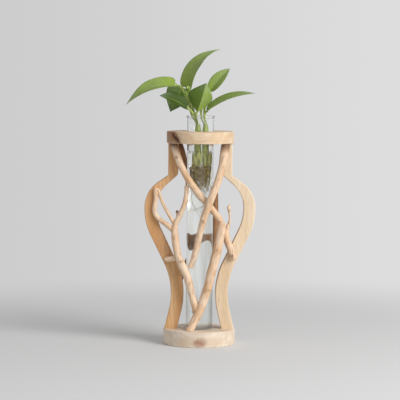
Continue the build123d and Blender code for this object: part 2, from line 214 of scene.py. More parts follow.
def sawn_wood(name, pale, warm, dark, along, heart, marks=()):
    """Planed, lightly oiled wood with growth lines, fibres and pores along one axis.

    A mark is a spot, its turn in degrees, its reaches in millimetres, its colour and its strength.
    """
    material, n = new_finish(name)
    place = n.place()
    wander = n.noise(place, BEND_GRAIN, 2.0, out="Color")
    bent = n.shift(place, n.stretch(wander, (BEND_WIDTH, BEND_WIDTH, BEND_WIDTH)))
    lines = n.distance(n.stretch(bent, along), heart)
    growth = (lines * GROWTH_LINES).sine() * 0.5 + 0.5
    late = n.step(growth, 0.55, 1.0)
    fibre = n.noise(n.stretch(place, along), FIBRE_GRAIN, 5.0)
    pores = n.step(n.noise(n.stretch(place, along), PORE_GRAIN, 2.0), 0.62, 0.7)
    patch = n.noise(n.stretch(place, along), PATCH_GRAIN, 3.0)
    colour = n.mix(n.step(patch, 0.3, 0.72), pale, warm)
    colour = n.mix(late * 0.55, colour, warm)
    colour = n.mix(n.step(fibre, 0.48, 0.85) * 0.5, colour, dark)
    colour = n.mix(pores * 0.3, colour, dark)
    rags = n.noise(place, RAG_GRAIN, 3.0, out="Color")
    ragged = n.shift(bent, n.stretch(rags, (RAG_WIDTH, RAG_WIDTH, RAG_WIDTH)))
    for spot, turn, reaches, tone, strength in marks:
        near = n.lens(ragged, spot, turn, reaches)
        colour = n.mix((1 - n.step(near, 0.45, 1.0)) * strength, colour, tone)
    rough = WOOD_ROUGHNESS + fibre * 0.16 - late * 0.06
    height = fibre * 0.5 + late * 0.25 - pores * 0.8
    n.surface({"Base Color": colour, "Roughness": rough}, height, WOOD_RELIEF)
    return material


LEFT_RIB_PALE = paint(229, 190, 143)
LEFT_RIB_WARM = paint(205, 152, 98)
RIGHT_RIB_PALE = paint(238, 219, 192)
RIGHT_RIB_WARM = paint(226, 199, 163)
RING_PALE = paint(234, 213, 186)
RING_WARM = paint(214, 181, 142)
BASE_PALE = paint(239, 228, 214)
BASE_WARM = paint(220, 198, 172)
GRAIN_DARK = paint(158, 106, 60)
BASE_GRAIN_DARK = paint(196, 162, 128)
KNOT_DARK = paint(74, 36, 14)
KNOT_HALO = paint(150, 98, 56)
# Painted shade colour for the ring's left side
LEFT_SHADE_BROWN = paint(150, 102, 60)
SMUDGE_BROWN = paint(178, 140, 118)

ring_radius = ring_high.x / MM
base_radius = base_high.x / MM
ring_middle = 0.5 * (ring_low.z + ring_high.z) / MM
# Spots on the front, moved by half of the wandering that the wood's pattern has
knot_spot = (-0.72 * ring_radius + BEND_HALF, -0.7 * ring_radius + BEND_HALF, ring_middle + BEND_HALF)
# Painted shade on the ring's left side, which faces away from the light
left_shade_spot = (-0.95 * ring_radius + BEND_HALF, -0.4 * ring_radius + BEND_HALF, ring_middle + BEND_HALF)
smudge_spot = (BEND_HALF, BEND_HALF - base_radius, 0.28 * base_high.z / MM + BEND_HALF)

base_wood = sawn_wood(
    "base_wood", BASE_PALE, BASE_WARM, BASE_GRAIN_DARK, ALONG_X, (0.0, 60.0, -30.0),
    [
        (smudge_spot, 8, (10.0, 9.0, 6.0), SMUDGE_BROWN, 0.75),
        (smudge_spot, -12, (7.0, 6.0, 2.2), KNOT_HALO, 0.45),
    ],
)
ring_wood = sawn_wood(
    "ring_wood", RING_PALE, RING_WARM, GRAIN_DARK, ALONG_X, (0.0, 70.0, 160.0),
    [
        # Painted shade over the ring's left side
        (left_shade_spot, 0, (14.0, 26.0, 9.0), LEFT_SHADE_BROWN, 0.75),
        (knot_spot, -38, (12.0, 14.0, 5.0), KNOT_HALO, 0.8),
        (knot_spot, -38, (9.5, 12.0, 1.7), KNOT_DARK, 0.97),
    ],
)
left_rib_wood = sawn_wood(
    "left_rib_wood", LEFT_RIB_PALE, LEFT_RIB_WARM, GRAIN_DARK, ALONG_Z, (-90.0, 40.0, 0.0)
)
right_rib_wood = sawn_wood(
    "right_rib_wood", RIGHT_RIB_PALE, RIGHT_RIB_WARM, GRAIN_DARK, ALONG_Z, (95.0, 40.0, 0.0)
)
FRAME_FINISHES = {
    "base_disc": base_wood,
    "top_ring": ring_wood,
    "left_rib": left_rib_wood,
    "right_rib": right_rib_wood,
    "rib_dowels": right_rib_wood,
}


def dress(node, material):
    """A CAD piece keeps its shape and gets its finish."""
    mesh = nodes[node].data
    mesh.materials.clear()
    mesh.materials.append(material)


for node, material in FRAME_FINISHES.items():
    dress(node, material)


# Meshes

def new_piece(name, mesh, body, replaced, materials):
    """A shown piece that rides on a body and stands for CAD nodes."""
    for material in materials:
        mesh.materials.append(material)
    piece = bpy.data.objects.new(name, mesh)
    bpy.context.scene.collection.objects.link(piece)
    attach(piece, body)
    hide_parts(*replaced)


def smooth(mesh):
    mesh.polygons.foreach_set("use_smooth", [True] * len(mesh.polygons))
    mesh.update()


def mark_points(mesh, name, values):
    """Paints one value on each point of a mesh."""
    layer = mesh.attributes.new(name, "FLOAT", "POINT")
    layer.data.foreach_set("value", values)


def regrown(node, grain, passes):
    """The CAD piece's skin as an even mesh of small faces, lightly worn."""
    helper = bpy.data.objects.new("regrown_" + node, nodes[node].data.copy())
    bpy.context.scene.collection.objects.link(helper)
    remesh = helper.modifiers.new("even", "REMESH")
    remesh.mode = "VOXEL"
    remesh.voxel_size = grain
    worn = helper.modifiers.new("worn", "SMOOTH")
    worn.iterations = passes
    view = bpy.context.evaluated_depsgraph_get()
    mesh = bpy.data.meshes.new_from_object(helper.evaluated_get(view))
    bpy.data.objects.remove(helper)
    mesh.materials.clear()
    return mesh


# Peeled branches

# Below this knobbliness a branch is a slim twig, with a finer mesh and less wear
SLIM_TWIG = 0.6
BRANCH_GRAIN = 0.5 * MM
BRANCH_WEAR = 6
TWIG_GRAIN = 0.28 * MM
TWIG_WEAR = 4
AXIS_SAMPLES = 400
AXIS_PASSES = 12
RIDGE_RISE = 0.14 * MM
RIDGE_GRAIN = 1.1 * MM
RIDGE_STRETCH = 0.86
LUMP_RISE = 0.3 * MM
LUMP_GRAIN = 9.0 * MM
KNOT_RISE = 0.9 * MM
KNOT_REACH = 2.3 * MM
KNOT_RAG_GRAIN = 1.6 * MM
KNOT_RAG_SHARE = 0.6
PIT_SHARE = 0.45
PIT_DEPTH = 0.9
FRONT_FACING = -0.5
END_SHARE = 0.07
END_FACING = 0.6
# Painted shadow of the ring on the branches under it, in millimetres: its length, how far it goes past the
# ring's lower face and how ragged its end is
RING_SHADOW_REACH = 10
RING_SHADOW_PAST = 4
RING_SHADOW_RAGS = 8
BRANCH_PATCH_GRAIN = 0.06
BRANCH_FLECK_GRAIN = 1.6
BRANCH_ROUGHNESS = 0.55
BRANCH_RELIEF = 0.08 * MM
BRANCH_PALE = paint(236, 210, 182)
BRANCH_WARM = paint(219, 180, 141)
BRANCH_BROWN = paint(160, 108, 66)
BRANCH_DARK = paint(96, 56, 34)
# Painted shade: darker, warmer colours for the branches behind the tube, which stand in shadow
SHADED_BACK_PALE = paint(196, 150, 108)
SHADED_BACK_WARM = paint(168, 112, 70)
# Knots across and up the front, in millimetres, and how dark they are
KNOTS = {
    "left_fork_branch": [(-21.4, 126.0, 1.0), (-18.0, 79.0, 0.5)],
    "cross_right_branch": [(3.0, 117.0, 0.5)],
    "cross_left_branch": [(-22.5, 176.0, 0.5)],
    "right_stem_branch": [(9.0, 52.0, 0.4), (16.0, 90.0, 0.4)],
    "right_twig": [(30.5, 84.0, 0.6)],
}


def long_axis(points):
    """Middle and main direction of a cloud of points, by repeated projection."""
    middle = sum(points, Vector()) / len(points)
    axis = points[-1] - points[0]
    for _ in range(AXIS_PASSES):
        axis = sum(((p - middle) * (p - middle).dot(axis) for p in points), Vector()).normalized()
    return middle, axis


def peeled_branch(node, knobbly, seed):
    """A branch with lumps, ridges along it and a few knots."""
    if knobbly < SLIM_TWIG:
        mesh = regrown(node, TWIG_GRAIN, TWIG_WEAR)
    else:
        mesh = regrown(node, BRANCH_GRAIN, BRANCH_WEAR)
    points = [v.co.copy() for v in mesh.vertices]
    normals = [v.normal.copy() for v in mesh.vertices]
    middle, axis = long_axis(points[:: max(1, len(points) // AXIS_SAMPLES)])
    reach = max(abs((p - middle).dot(axis)) for p in points)
    offset = Vector((seed * 7.3, seed * 3.1, seed * 1.7))
    front = [p for p, normal in zip(points, normals) if normal.y < FRONT_FACING]
    knots = []
    for across, up, dark in KNOTS.get(node, []):
        spot = min(front, key=lambda p: (p.x - across * MM) ** 2 + (p.z - up * MM) ** 2)
        knots.append((spot, dark))
    knot_marks, end_marks, ridge_marks = [], [], []
    for vertex, point, normal in zip(mesh.vertices, points, normals):
        run = (point - middle).dot(axis)
        flat = point - axis * (run * RIDGE_STRETCH)
        ridge = noise.noise(flat / RIDGE_GRAIN + offset)
        lump = noise.noise(point / LUMP_GRAIN + offset)
        near, dark = min([((point - spot).length, dark) for spot, dark in knots], default=(reach, 0.0))
        near *= 1 + KNOT_RAG_SHARE * noise.noise(point / KNOT_RAG_GRAIN + offset)
        bump = math.exp(-((near / KNOT_REACH) ** 2))
        pit = math.exp(-((near / (PIT_SHARE * KNOT_REACH)) ** 2))
        rise = ridge * RIDGE_RISE + lump * LUMP_RISE + (bump - PIT_DEPTH * pit) * KNOT_RISE
        vertex.co = point + normal * (rise * knobbly)
        knot_marks.append(bump * dark)
        facing = abs(normal.dot(axis))
        at_end = max(0.0, (abs(run) / reach - 1 + END_SHARE) / END_SHARE)
        end_marks.append(min(1.0, at_end) * (1.0 if facing > END_FACING else 0.0))
        ridge_marks.append(ridge * 0.5 + 0.5)
    mark_points(mesh, "knot", knot_marks)
    mark_points(mesh, "end", end_marks)
    mark_points(mesh, "ridge", ridge_marks)
    smooth(mesh)
    return mesh


def branch_finish(name, pale, warm):
    """Bare peeled wood, browner at knots and ends, with painted shade in the hollows between ridges that is
    partly the wood's own streaks, and the ring's shadow painted on where the branches meet it.
    """
    material, n = new_finish(name)
    place = n.place()
    ridge, knot, end = n.mark("ridge"), n.mark("knot"), n.mark("end")
    patch = n.noise(place, BRANCH_PATCH_GRAIN, 4.0)
    fleck = n.noise(place, BRANCH_FLECK_GRAIN, 4.0)
    colour = n.mix(n.step(patch, 0.35, 0.7), pale, warm)
    # Painted shade in the hollows between the ridges, partly the wood's own streaks
    colour = n.mix((1 - n.step(ridge, 0.2, 0.5)) * 0.45, colour, BRANCH_BROWN)
    colour = n.mix(n.step(fleck, 0.6, 0.74) * 0.35, colour, BRANCH_BROWN)
    colour = n.mix(n.step(knot, 0.1, 0.8) * 0.9, colour, BRANCH_DARK)
    colour = n.mix(end * 0.5, colour, warm)
    # Painted shadow of the ring: the branches darken over the last millimetres below its lower face and up
    # into it
    past_ring = n.part(place, 2) + patch * RING_SHADOW_RAGS - ring_low.z / MM
    colour = n.mix(n.step(past_ring, RING_SHADOW_PAST - RING_SHADOW_REACH, RING_SHADOW_PAST) * 0.85, colour, BRANCH_DARK)
    rough = BRANCH_ROUGHNESS + fleck * 0.2
    n.surface({"Base Color": colour, "Roughness": rough}, fleck + ridge * 0.5, BRANCH_RELIEF)
    return material


front_wood = branch_finish("peeled_branch", BRANCH_PALE, BRANCH_WARM)
# Painted shade: the branches behind the tube get a darker copy of the peeled wood
shaded_back_wood = branch_finish("shaded_branch", SHADED_BACK_PALE, SHADED_BACK_WARM)
for number, (node, knobbly) in enumerate(BRANCHES.items()):
    branch = peeled_branch(node, knobbly, number + 1)
    wood = shaded_back_wood if node.startswith("back") else front_wood
    new_piece("peeled_" + node, branch, "frame", [node], [wood])


# Glass tube and water

TUBE_RADIUS = 12.5 * MM
TUBE_WALL = 1.2 * MM
TUBE_FLOOR = 2.0 * MM
FOOT_ROUND = 2.0 * MM
LIP_HEIGHT = 1.8 * MM
WATER_TOP = tube_high.z - 34 * MM
WATER_BITE = 0.1 * MM
MENISCUS_RISE = 0.5 * MM
MENISCUS_REACH = 1.6 * MM
MENISCUS_CURVE = 2.5
MENISCUS_STEPS = 10
FOOT_STEPS = 8
LIP_STEPS = 10
EDGE_STEPS = 6
ROUND_SIDES = 128
SHARP_TURN = 25
# Heights over the tube's foot and from the water's top where the glass thins, in millimetres
FOOT_THINS = (2, 6)
RIM_THINS = (0.6, 1.6)
THIN_SHARE = 0.3
GLASS_COLOUR = paint(254, 255, 254)
GLASS_BENDING = 1.47
GLASS_SMEAR_GRAIN = 0.12
GLASS_RELIEF = 0.02 * MM
WATER_COLOUR = paint(254, 255, 253)
WATER_BENDING = 1.33
WATER_RIPPLE_GRAIN = 0.15
WATER_RELIEF = 0.01 * MM
lip_radius = tube_high.x
bore_radius = TUBE_RADIUS - TUBE_WALL
inner_round = FOOT_ROUND - TUBE_WALL / 2


def arc(middle, radius, start, turn, count):
    """Points of an arc in the turning plane, angles in degrees."""
    angles = [math.radians(start + turn * i / count) for i in range(count + 1)]
    return [(middle[0] + radius * math.cos(a), middle[1] + radius * math.sin(a)) for a in angles]


def turned(profile):
    """A closed skin turned round the vase's axis from radius and height pairs, its ends on the axis."""
    sheet = bmesh.new()
    angles = [math.tau * i / ROUND_SIDES for i in range(ROUND_SIDES)]
    rings = []
    for radius, height in profile:
        if radius == 0:
            rings.append([sheet.verts.new((0, 0, height))])
            continue
        places = [(radius * math.cos(a), radius * math.sin(a), height) for a in angles]
        rings.append([sheet.verts.new(place) for place in places])
    for lower, upper in zip(rings, rings[1:]):
        for i in range(ROUND_SIDES):
            j = (i + 1) % ROUND_SIDES
            corners = [lower[i % len(lower)], lower[j % len(lower)]]
            corners += [upper[j % len(upper)], upper[i % len(upper)]]
            sheet.faces.new(dict.fromkeys(corners))
    bmesh.ops.recalc_face_normals(sheet, faces=sheet.faces)
    mesh = bpy.data.meshes.new("turned")
    sheet.to_mesh(mesh)
    sheet.free()
    smooth(mesh)
    mesh.set_sharp_from_angle(angle=math.radians(SHARP_TURN))
    return mesh


def tube_profile():
    """Section of the tube from the middle of its foot, over the lip, to the middle of its floor."""
    foot_middle = (TUBE_RADIUS - FOOT_ROUND, tube_low.z + FOOT_ROUND)
    lip_middle = (lip_radius - LIP_HEIGHT / 2, tube_high.z - LIP_HEIGHT / 2)
    edge_middle = (bore_radius + LIP_HEIGHT / 3, tube_high.z - LIP_HEIGHT / 3)
    floor = tube_low.z + TUBE_FLOOR
    points = [(0, tube_low.z), (TUBE_RADIUS / 2, tube_low.z)]
    points += arc(foot_middle, FOOT_ROUND, -90, 90, FOOT_STEPS)
    points += [(TUBE_RADIUS, tube_low.z + 2 * FOOT_ROUND), (TUBE_RADIUS, tube_high.z - 2 * LIP_HEIGHT)]
    points += arc(lip_middle, LIP_HEIGHT / 2, -60, 150, LIP_STEPS)
    points += arc(edge_middle, LIP_HEIGHT / 3, 90, 90, EDGE_STEPS)
    points += [(bore_radius, tube_high.z - 2 * LIP_HEIGHT), (bore_radius, floor + 2 * FOOT_ROUND)]
    points += arc((bore_radius - inner_round, floor + inner_round), inner_round, 0, -90, FOOT_STEPS)
    points += [(bore_radius / 2, floor), (0, floor)]
    return points


def water_profile():
    """Section of the water, from the tube's floor up to a rim that climbs the glass."""
    edge = bore_radius + WATER_BITE
    floor = tube_low.z + TUBE_FLOOR - WATER_BITE
    points = [(0, floor), (bore_radius / 2, floor)]
    points += arc((edge - inner_round, floor + inner_round), inner_round, -90, 90, FOOT_STEPS)
    points += [(edge, floor + 2 * FOOT_ROUND), (edge, WATER_TOP)]
    for i in range(MENISCUS_STEPS + 1):
        share = i / MENISCUS_STEPS
        rise = MENISCUS_RISE * (1 - share) ** MENISCUS_CURVE
        points.append((edge - MENISCUS_REACH * share, WATER_TOP + rise))
    points += [((edge - MENISCUS_REACH) / 2, WATER_TOP), (0, WATER_TOP)]
    return points


def thinned(n, place):
    """1 for most of the tube, less at its foot and at the water's rim, where light gets through."""
    height = n.part(place, 2)
    above_foot = n.step(height - tube_low.z / MM, *FOOT_THINS)
    off_rim = n.step(abs(height - WATER_TOP / MM), *RIM_THINS)
    return THIN_SHARE + above_foot * off_rim * (1 - THIN_SHARE)


def glass_finish():
    """Clear glass with faint upright smears."""
    material, n = new_finish("clear_glass")
    place = n.place()
    smear = n.noise(n.stretch(place, (1.0, 1.0, 0.3)), GLASS_SMEAR_GRAIN, 4.0)
    rough = n.step(smear, 0.45, 0.8) * 0.04
    sockets = {
        "Base Color": GLASS_COLOUR,
        "Roughness": rough,
        "Alpha": thinned(n, place),
        "IOR": GLASS_BENDING,
        "Transmission Weight": 1.0,
    }
    n.surface(sockets, smear, GLASS_RELIEF)
    return material


def water_finish():
    """Clear still water."""
    material, n = new_finish("clear_water")
    place = n.place()
    ripple = n.noise(place, WATER_RIPPLE_GRAIN, 2.0)
    sockets = {
        "Base Color": WATER_COLOUR,
        "Roughness": ripple * 0.01,
        "Alpha": thinned(n, place),
        "IOR": WATER_BENDING,
        "Transmission Weight": 1.0,
    }
    n.surface(sockets, ripple, WATER_RELIEF)
    return material


new_piece("clear_tube", turned(tube_profile()), "tube", ["glass_tube"], [glass_finish()])
new_piece("tube_water", turned(water_profile()), "tube", [], [water_finish()])


# Leaves

LEAF_REACH = 68 * MM
LEAF_RISE = 62 * MM
LEAF_HALF_WIDTH = 12 * MM
LEAF_THICKNESS = 0.35 * MM
LEAF_ROWS = 40
LEAF_COLUMNS = 12
# Base and tip are shares across, forward and up; face is the way the blade looks; heart is how heart-shaped
# its base is; tints and shades are for its two halves, from dark painted shade below zero to the leaf's own
# fresh green at one
Leaf = namedtuple("Leaf", "base tip face arch width cup fold heart tones")
LEAVES = {
    "leaf_top": Leaf(
        (-0.15, 0.0, 0.455), (0.265, -0.14, 1.0), (-0.8, -0.5, 0.5),
        arch=0.34, width=1.1, cup=0.22, fold=0.08, heart=1.0, tones=(0.62, 0.68),
    ),
    "leaf_left": Leaf(
        (-0.38, 0.05, 0.46), (-1.02, 0.14, 0.16), (-0.2, -0.5, 0.8),
        arch=0.28, width=0.85, cup=0.22, fold=0.08, heart=1.0, tones=(0.58, 0.55),
    ),
    "leaf_left_back": Leaf(
        (-0.27, -0.2, 0.4), (-0.42, -0.06, 0.05), (-0.1, -0.95, 0.1),
        arch=0.08, width=1.0, cup=0.22, fold=0.1, heart=0.9, tones=(-0.35, -0.35),
    ),
    "leaf_left_low": Leaf(
        (-0.19, 0.14, 0.12), (-0.56, 0.26, 0.3), (-0.1, -0.6, 0.8),
        arch=0.12, width=0.8, cup=0.22, fold=0.1, heart=0.5, tones=(-0.68, -0.68),
    ),
    "leaf_centre": Leaf(
        (-0.045, 0.125, 0.06), (0.075, 0.17, 0.49), (0.25, -0.94, 0.15),
        arch=0.2, width=0.98, cup=-0.1, fold=-0.75, heart=0.1, tones=(0.6, -0.2),
    ),
    "leaf_right_up": Leaf(
        (0.14, -0.16, 0.37), (0.4, -0.24, 0.71), (-0.4, -0.75, 0.35),
        arch=0.1, width=0.62, cup=0.1, fold=0.3, heart=0.4, tones=(0.9, 1.1),
    ),
    "leaf_right": Leaf(
        (0.1, 0.0, 0.07), (0.74, 0.12, 0.34), (-0.3, -0.3, 0.9),
        arch=0.17, width=0.8, cup=0.22, fold=0.12, heart=0.6, tones=(0.6, 0.5),
    ),
    "leaf_bud": Leaf(
        (0.006, -0.1, 0.09), (0.005, -0.12, 0.2), (0.2, -0.95, 0.1),
        arch=0.05, width=0.23, cup=0.22, fold=0.2, heart=0.0, tones=(0.1, 0.1),
    ),
}
# Outline of a blade: stations on the midrib, how far the edge falls back from them, and the half width
BLADE_STATION_SHARES = (0.0, 0.04, 0.09, 0.15, 0.24, 0.36, 0.54, 0.72, 0.86, 0.95, 1.0)
BLADE_BACK_SHARES = (0.0, 0.11, 0.17, 0.18, 0.15, 0.1, 0.04, 0.01, 0.0, 0.0, 0.0)
BLADE_WIDTH_SHARES = (0.02, 0.38, 0.7, 0.9, 1.0, 0.98, 0.81, 0.53, 0.25, 0.08, 0.01)
PLAIN_CURVE = 0.8
LOBE_CURVE = 1.5
WAVE_SHARE = 0.08
PILLOW_SHARE = 0.03
RIM_SHARE = 0.25
SIDE_VEINS = 7
VEIN_SLANT = 0.3
LEAF_MOTTLE_GRAIN = 0.25
LEAF_CELL_GRAIN = 2.6
LEAF_ROUGHNESS = 0.36
LEAF_SHINE = 0.28
LEAF_RELIEF = 0.12 * MM


def between(stations, values, share):
    """A smooth curve through listed values."""
    last = len(stations) - 1
    i = next(k for k in range(last) if share <= stations[k + 1])

    def slope(k):
        before, after = max(k - 1, 0), min(k + 1, last)
        return (values[after] - values[before]) / (stations[after] - stations[before])

    span = stations[i + 1] - stations[i]
    t = (share - stations[i]) / span
    start = values[i] * (1 + 2 * t) * (1 - t) ** 2 + span * slope(i) * t * (1 - t) ** 2
    return start + values[i + 1] * t * t * (3 - 2 * t) + span * slope(i + 1) * t * t * (t - 1)


def crown_point(shares):
    """A place in the crown of leaves, from shares of its reach and rise."""
    across, forward, up = shares
    return Vector((LEAF_REACH * across, -LEAF_REACH * forward, tube_high.z + LEAF_RISE * up))


def blade_points(leaf, seed):
    """Points of a leaf's face: rows along the midrib, columns across it."""
    base, tip, face = crown_point(leaf.base), crown_point(leaf.tip), Vector(leaf.face)
    chord = tip - base
    level = chord.normalized()
    lift = (face - level * face.dot(level)).normalized() * (chord.length * leaf.arch)
    bend = (base + tip) * 0.5 + lift
    rows = []
    for i in range(LEAF_ROWS + 1):
        share = i / LEAF_ROWS
        rest = 1 - share
        place = base * rest**2 + bend * (2 * rest * share) + tip * share**2
        along = ((bend - base) * rest + (tip - bend) * share).normalized()
        side = face.cross(along).normalized()
        up = along.cross(side)
        lobed = between(BLADE_STATION_SHARES, BLADE_WIDTH_SHARES, share)
        plain = max(math.sin(math.pi * share), 0.0) ** PLAIN_CURVE
        half = LEAF_HALF_WIDTH * leaf.width * (leaf.heart * lobed + (1 - leaf.heart) * plain)
        fall = leaf.heart * between(BLADE_STATION_SHARES, BLADE_BACK_SHARES, share)
        points = []
        for j in range(-LEAF_COLUMNS, LEAF_COLUMNS + 1):
            v = j / LEAF_COLUMNS
            out = abs(v)
            back = chord.length * fall * out**LOBE_CURVE
            wave = noise.noise(Vector((share * 4, v * 1.5, seed * 5.0))) * out**2 * WAVE_SHARE
            ribs = math.sin(math.pi * SIDE_VEINS * (share - VEIN_SLANT * out)) ** 2
            pillow = PILLOW_SHARE * ribs * out * (1 - out)
            rise = half * (leaf.cup * v * v + leaf.fold * out + wave + pillow)
            points.append(place + side * (half * v) + up * rise - along * back)
        rows.append(points)
    return rows


def leaf_mesh(name, leaf, seed):
    """A thin two-sided blade with its veins laid out on a flat map."""
    rows = blade_points(leaf, seed)
    columns = 2 * LEAF_COLUMNS + 1
    sheet = bmesh.new()
    layer = sheet.loops.layers.uv.new("veins")
    tops, backs = [], []
    for i, points in enumerate(rows):
        ahead = rows[min(i + 1, LEAF_ROWS)]
        behind = rows[max(i - 1, 0)]
        top, back = [], []
        for j, point in enumerate(points):
            across = points[min(j + 1, columns - 1)] - points[max(j - 1, 0)]
            normal = (ahead[j] - behind[j]).cross(across).normalized()
            inside = 1 - abs(2 * j / (columns - 1) - 1) ** 6
            depth = LEAF_THICKNESS * (RIM_SHARE + (1 - RIM_SHARE) * inside)
            top.append(sheet.verts.new(point))
            back.append(sheet.verts.new(point + normal * depth))
        tops.append(top)
        backs.append(back)

    def face(corners, places, side):
        made = sheet.faces.new(corners)
        made.material_index = side
        made.smooth = True
        for loop, (i, j) in zip(made.loops, places):
            loop[layer].uv = (i / LEAF_ROWS, j / (columns - 1))

    for i in range(LEAF_ROWS):
        for j in range(columns - 1):
            places = [(i, j), (i, j + 1), (i + 1, j + 1), (i + 1, j)]
            face([tops[a][b] for a, b in places], places, 0)
            places = places[::-1]
            face([backs[a][b] for a, b in places], places, 1)
    rim = [(0, j) for j in range(columns)]
    rim += [(i, columns - 1) for i in range(1, LEAF_ROWS + 1)]
    rim += [(LEAF_ROWS, j) for j in range(columns - 2, -1, -1)]
    rim += [(i, 0) for i in range(LEAF_ROWS - 1, 0, -1)]
    for (a, b), (c, d) in zip(rim, rim[1:] + rim[:1]):
        face([tops[c][d], tops[a][b], backs[a][b], backs[c][d]], [(c, d), (a, b), (a, b), (c, d)], 1)
    mesh = bpy.data.meshes.new(name)
    sheet.to_mesh(mesh)
    sheet.free()
    for side, tone in zip(("near_tint_and_shade", "far_tint_and_shade"), leaf.tones):
        mark_points(mesh, side, [tone] * len(mesh.vertices))
    return mesh


LEAF_SHADE = paint(20, 42, 0)
LEAF_DEEP = paint(44, 80, 0)
LEAF_FRESH = paint(118, 158, 12)
LEAF_VEIN = paint(168, 186, 104)
LEAF_BASE_GLOW = paint(150, 178, 44)
LEAF_TIP_GREY = paint(150, 168, 142)
BACK_DEEP = paint(96, 122, 44)
BACK_PALE = paint(150, 170, 92)


def leaf_finish(name, deep, fresh, sinks):
    """A waxy leaf side with a pale midrib, side veins and mottled green, and painted shade where a leaf's
    tone is below zero; veins sink in or stand out.
    """
    material, n = new_finish(name)
    spread = n.add("ShaderNodeUVMap", {"uv_map": "veins"})
    share = n.part(spread, 0)
    out = abs(n.part(spread, 1) * 2 - 1)
    near_tint_and_shade, far_tint_and_shade = n.mark("near_tint_and_shade"), n.mark("far_tint_and_shade")
    tone = near_tint_and_shade + (far_tint_and_shade - near_tint_and_shade) * n.step(n.part(spread, 1), 0.47, 0.53)
    mottle = n.noise(n.place(), LEAF_MOTTLE_GRAIN, 4.0)
    cells = n.noise(n.place(), LEAF_CELL_GRAIN, 3.0)
    midrib = 1 - n.step(out, 0.015, 0.075)
    run = ((share - out * VEIN_SLANT) * SIDE_VEINS).fraction()
    side_vein = (1 - n.step(abs(run - 0.5), 0.02, 0.09)) * (1 - n.step(out, 0.5, 0.95))
    # The leaf's own green, deep to fresh by tone; a tone below zero keeps it deep as painted shade
    colour = n.mix(n.step(tone * 0.75 + mottle * 0.4, 0.15, 0.9), deep, fresh)
    # Painted shade: leaves and halves with a tone below zero darken towards LEAF_SHADE
    colour = n.mix(1 - n.step(tone, -1.0, -0.2), colour, LEAF_SHADE)
    # The paler base fades out on leaves given painted shade
    near_base = (1 - n.step(share, 0.0, 0.4)) * n.step(tone, -0.4, 0.6)
    colour = n.mix(near_base * 0.5, colour, LEAF_BASE_GLOW)
    colour = n.mix(n.step(share, 0.6, 1.0) * 0.3, colour, LEAF_TIP_GREY)
    colour = n.mix(n.step(cells, 0.5, 0.8) * 0.18, colour, deep)
    colour = n.mix(side_vein * 0.16, colour, LEAF_VEIN)
    colour = n.mix(midrib * 0.5, colour, LEAF_VEIN)
    rough = LEAF_ROUGHNESS + mottle * 0.16
    height = cells * 0.2 - (midrib + side_vein * 0.6) * sinks
    sockets = {"Base Color": colour, "Roughness": rough, "Specular IOR Level": LEAF_SHINE}
    n.surface(sockets, height, LEAF_RELIEF)
    return material


leaf_face = leaf_finish("leaf_face", LEAF_DEEP, LEAF_FRESH, 1.0)
leaf_back = leaf_finish("leaf_back", BACK_DEEP, BACK_PALE, -1.0)
for number, (node, leaf) in enumerate(LEAVES.items()):
    blade = leaf_mesh(node, leaf, number)
    new_piece("veined_" + node, blade, "cutting", [node], [leaf_face, leaf_back])


# Stems and stalks

STEM_GRAIN = 0.36 * MM
STEM_WEAR = 3
RIB_GRAIN = 0.8 * MM
RIB_STRETCH = 0.12
RIB_RISE = 0.12 * MM
SWELL_HEIGHT = 8 * MM
SWELL_RISE = 0.5 * MM
END_TAPER = 5 * MM
TAPER_DEPTH = 1.6 * MM
# Stalks and stem draw together round the height where the stem ends
SHOULDER_TOP = tube_high.z - 7 * MM
SHOULDER_REACH = 10 * MM
SHOULDER_PULL = 0.62
STALK_ROOM = 0.8 * MM
STEM_LENGTH = 48 * MM
STEM_MOTTLE_GRAIN = 0.4
STEM_ROUGHNESS = 0.38
STEM_RELIEF = 0.06 * MM
STEM_YELLOW = paint(244, 244, 138)
STEM_GREEN = paint(196, 214, 84)
STEM_DEEP = paint(112, 142, 38)
STALK_PALE = paint(184, 200, 110)


def fleshy_stem(node, seed):
    """Stem and stalks with faint ribs along them and a swelling at the rooted end."""
    mesh = regrown(node, STEM_GRAIN, STEM_WEAR)
    offset = Vector((seed * 5.1, seed * 2.3, seed * 0.7))
    low = min(v.co.z for v in mesh.vertices)
    foot = [v.co.copy() for v in mesh.vertices if v.co.z < low + MM]
    axis = sum(foot, Vector()) / len(foot)
    rib_marks = []
    moves = []
    for vertex in mesh.vertices:
        flat = Vector((vertex.co.x, vertex.co.y, vertex.co.z * RIB_STRETCH))
        rib = noise.noise(flat / RIB_GRAIN + offset)
        above = vertex.co.z - low
        swell = math.exp(-((above / SWELL_HEIGHT - 1) ** 2))
        taper = max(0.0, 1 - above / END_TAPER) ** 2
        out = Vector((vertex.co.x - axis.x, vertex.co.y - axis.y, 0))
        away = abs(SHOULDER_TOP - vertex.co.z) / SHOULDER_REACH
        slope = SHOULDER_PULL * max(0.0, 1 - away) ** 2
        pull = out.normalized() * (slope * max(0.0, out.length - STALK_ROOM))
        rise = rib * RIB_RISE + swell * SWELL_RISE - taper * TAPER_DEPTH
        moves.append(vertex.normal * rise - pull)
        rib_marks.append(rib * 0.5 + 0.5)
    for vertex, move in zip(mesh.vertices, moves):
        vertex.co = vertex.co + move
    mark_points(mesh, "rib", rib_marks)
    smooth(mesh)
    return mesh


